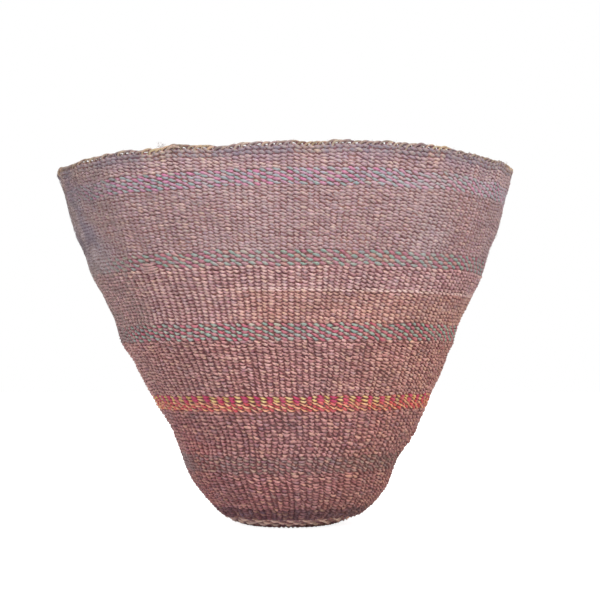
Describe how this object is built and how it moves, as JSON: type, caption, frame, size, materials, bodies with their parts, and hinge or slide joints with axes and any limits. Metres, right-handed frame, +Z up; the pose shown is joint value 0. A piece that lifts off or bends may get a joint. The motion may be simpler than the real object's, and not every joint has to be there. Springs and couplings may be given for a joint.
{
  "type": "twined basket",
  "caption": "Open twined fibre basket with a wide round mouth, a soft sloping wall banded in colour, a small flat foot and a plaited rim.",
  "frame": {"origin": "on the resting plane, under the middle of the mouth", "axes": "+Z up, out of the mouth; +X to the right of the side shown in the picture; -Y towards the viewer"},
  "size_m": [0.3308, 0.3264, 0.2549],
  "materials": {
    "base_yarn": "matte plum fibre",
    "foot_line_yarn": "matte pale pink and charcoal fibre",
    "foot_band_yarn": "matte charcoal plum fibre",
    "plum_yarn": "matte faded plum fibre",
    "grey_green_yarn": "matte grey green and plum fibre",
    "red_yarn": "matte crimson and yellow fibre",
    "rose_mauve_yarn": "matte faded rose mauve fibre",
    "mint_yarn": "matte mint and mauve fibre",
    "grey_mauve_yarn": "matte faded grey mauve fibre",
    "pink_yarn": "matte pink and mint fibre",
    "warp_cord": "matte tan fibre cord",
    "rim_cord": "matte tan and grey fibre cord"
  },
  "bodies": {
    "root": {"warp_start_lower": "warp_cord", "warp_start_upper": "warp_cord", "base_weft": "base_yarn", "foot_line_weft": "foot_line_yarn", "foot_band_weft": "foot_band_yarn", "plain_weft_1": "plum_yarn", "faint_band_weft": "grey_green_yarn", "plain_weft_2": "plum_yarn", "red_yellow_band_weft": "red_yarn", "plain_weft_3": "rose_mauve_yarn", "lower_mint_band_weft": "mint_yarn", "plain_weft_4": "rose_mauve_yarn", "middle_mint_band_weft": "mint_yarn", "plain_weft_5": "grey_mauve_yarn", "pink_mint_band_weft": "pink_yarn", "top_weft": "grey_mauve_yarn", "warp_crown": "warp_cord", "rim_braid": "rim_cord", "rim_end_knot": "rim_cord"}
  },
  "joints": []
}
